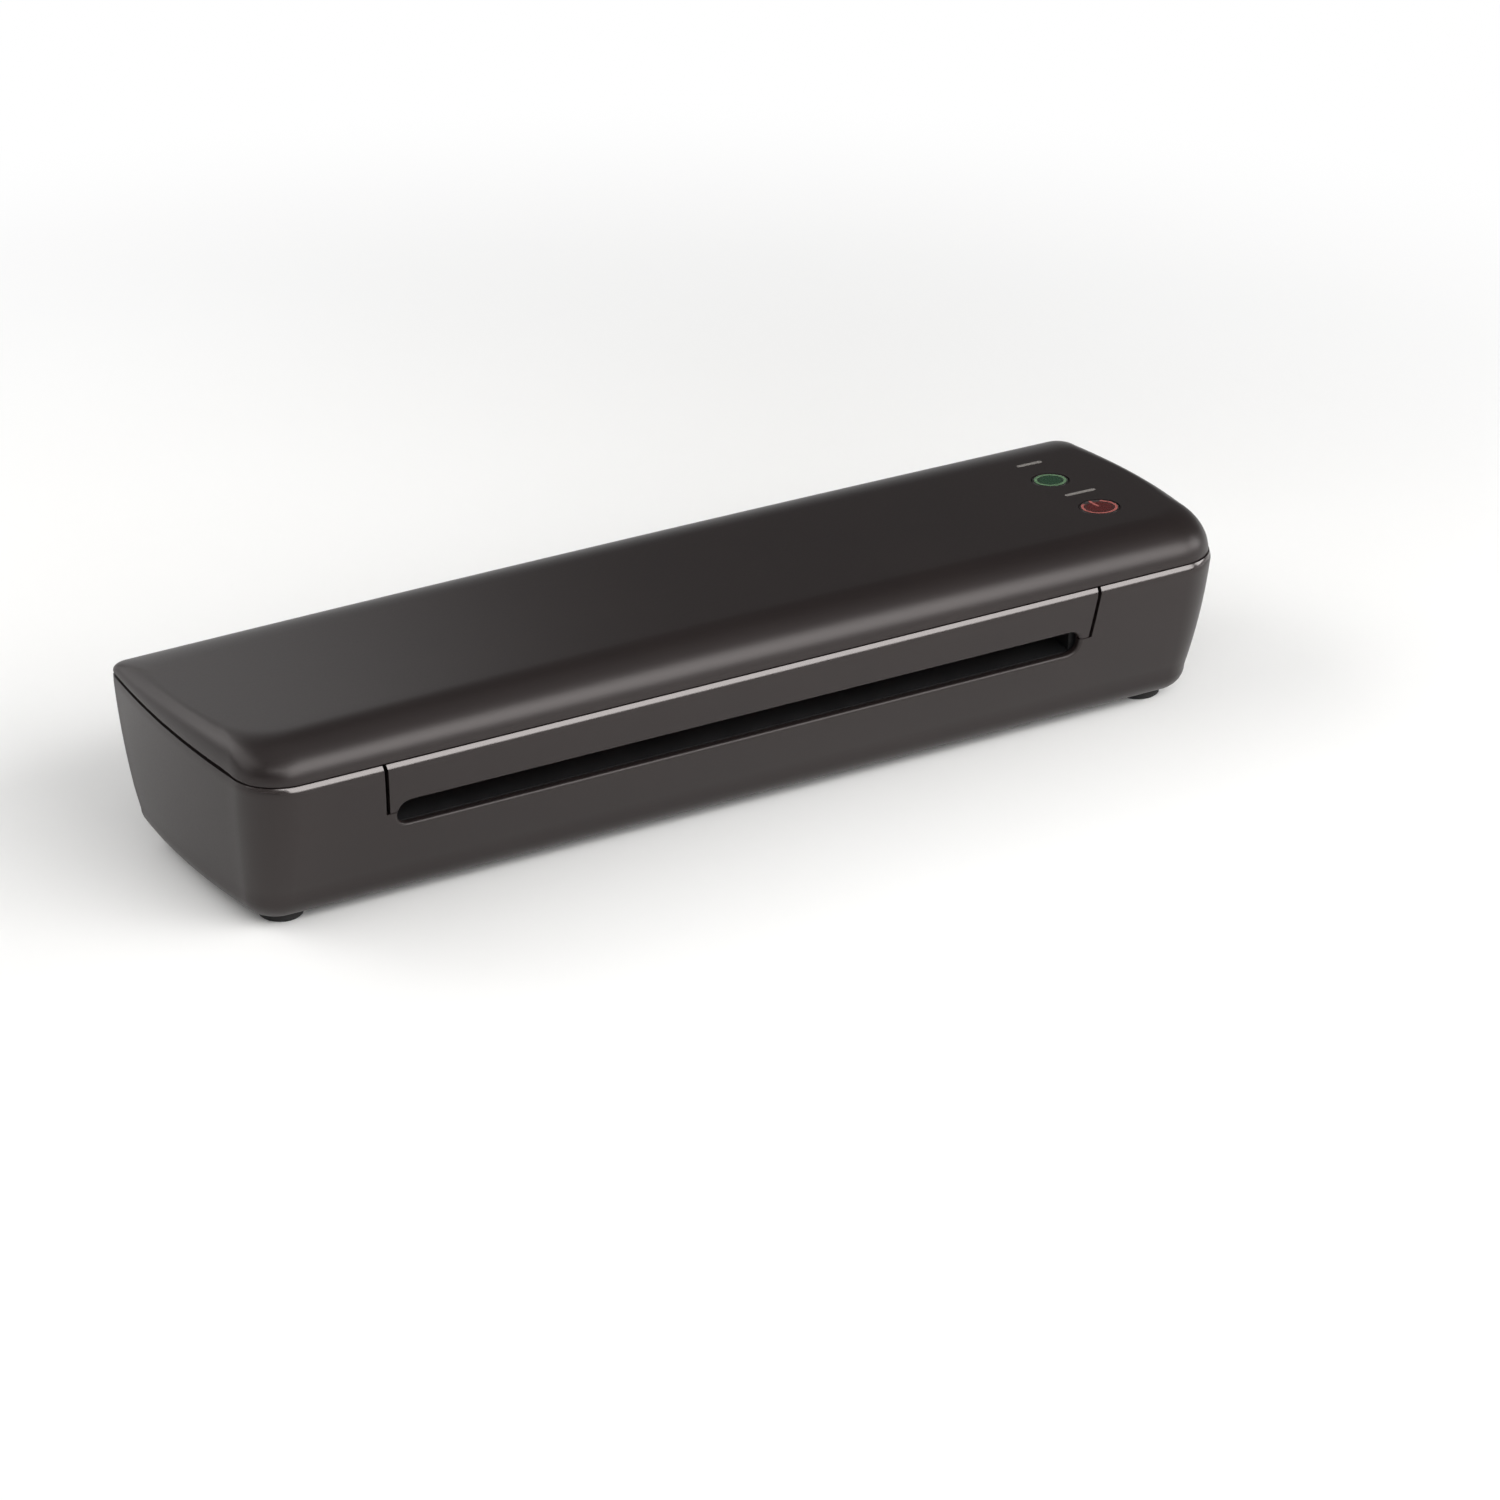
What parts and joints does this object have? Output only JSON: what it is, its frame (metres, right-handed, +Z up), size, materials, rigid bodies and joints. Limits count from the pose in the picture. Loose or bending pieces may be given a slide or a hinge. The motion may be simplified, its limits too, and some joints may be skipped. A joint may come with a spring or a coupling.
{
  "type": "pouch laminator",
  "caption": "Desktop pouch laminator: drafted base, crowned cover, exit and entry slots, geared rollers between heated plates, power button, ready lamp and release lever.",
  "frame": {"origin": "on the table, under the middle of the machine's box", "axes": "+X to the right along the machine, +Y from the exit slot at the front to the entry slot at the back, +Z up"},
  "size_m": [0.3536, 0.1058, 0.0653],
  "materials": {
    "shell_abs": "satin textured warm charcoal ABS",
    "black_nylon": "plain moulded black nylon",
    "natural_nylon": "plain moulded natural nylon",
    "smoked_lens": "gloss smoked lens with a green ring",
    "smoked_button": "gloss smoked cap with a red power sign",
    "circuit_board": "green solder mask",
    "steel": "zinc plated steel",
    "aluminium": "extruded aluminium",
    "silicone": "ground silicone rubber",
    "mica": "laminated mica sheet",
    "rubber": "matt black rubber"
  },
  "bodies": {
    "frame": {"base_housing": "shell_abs", "top_cover": "shell_abs", "exit_lip": "shell_abs", "exit_guide": "black_nylon", "entry_guide": "black_nylon", "ready_lamp_lens": "smoked_lens", "button_spring": "steel", "control_board": "circuit_board", "ready_led": "natural_nylon", "push_switch": "black_nylon", "left_side_plate": "steel", "right_side_plate": "steel", "lower_bearing_left": "natural_nylon", "lower_bearing_right": "natural_nylon", "pressure_spring_left": "steel", "pressure_spring_right": "steel", "motor_housing": "aluminium", "motor_bracket": "steel", "lower_heater_plate": "aluminium", "upper_heater_plate": "aluminium", "lower_heating_element": "mica", "upper_heating_element": "mica", "thermostat": "black_nylon", "thermal_fuse": "natural_nylon", "cord_gland": "black_nylon", "terminal_block": "natural_nylon", "foot_front_left": "rubber", "foot_front_right": "rubber", "foot_rear_left": "rubber", "foot_rear_right": "rubber", "case_screw_front_left": "steel", "case_screw_front_right": "steel", "case_screw_rear_left": "steel", "case_screw_rear_right": "steel", "plate_screw_front_left": "steel", "plate_screw_front_right": "steel", "plate_screw_rear_left": "steel", "plate_screw_rear_right": "steel", "bracket_screw_front": "steel", "bracket_screw_rear": "steel"},
    "lower_roller": {"lower_roller_shaft": "steel", "lower_roller_sleeve": "silicone", "lower_roller_gear": "natural_nylon"},
    "pressure_carriage": {"upper_bearing_left": "natural_nylon", "upper_bearing_right": "natural_nylon"},
    "upper_roller": {"upper_roller_shaft": "steel", "upper_roller_sleeve": "silicone", "upper_roller_gear": "natural_nylon"},
    "drive_pinion": {"motor_pinion": "steel"},
    "release": {"release_shaft": "steel", "release_lever": "black_nylon"},
    "button": {"power_button": "smoked_button"}
  },
  "joints": [
    {"name": "lower_roller_spin", "type": "hinge", "parent": "frame", "child": "lower_roller", "pos_m": [-0.003, -0.0215, 0.02375], "axis": [1, 0, 0], "continuous": true},
    {"name": "carriage_lift", "type": "slide", "parent": "frame", "child": "pressure_carriage", "axis": [0, 0, 1], "range_m": [0, 0.0015], "stiffness_N_per_m": 3000, "springref_m": -0.002, "deforming": ["pressure_spring_left", "pressure_spring_right"]},
    {"name": "upper_roller_spin", "type": "hinge", "parent": "pressure_carriage", "child": "upper_roller", "pos_m": [-0.003, -0.0215, 0.04405], "axis": [1, 0, 0], "continuous": true},
    {"name": "pinion_spin", "type": "hinge", "parent": "frame", "child": "drive_pinion", "pos_m": [-0.003, -0.00678, 0.03061], "axis": [1, 0, 0], "continuous": true},
    {"name": "release_lever_press", "type": "hinge", "parent": "frame", "child": "release", "pos_m": [-0.003, -0.0025, 0.04525], "axis": [-1, 0, 0], "range_deg": [0, 14.33]},
    {"name": "power_button_press", "type": "slide", "parent": "frame", "child": "button", "axis": [0, 0, -1], "range_m": [0, 0.001], "stiffness_N_per_m": 300, "springref_m": -0.001, "deforming": ["button_spring"]}
  ],
  "couplings": [
    {"joint": "upper_roller_spin", "follows": "lower_roller_spin", "ratio": -1},
    {"joint": "pinion_spin", "follows": "lower_roller_spin", "ratio": -1.6667},
    {"joint": "release_lever_press", "follows": "carriage_lift", "rad_per_m": 166.67}
  ]
}
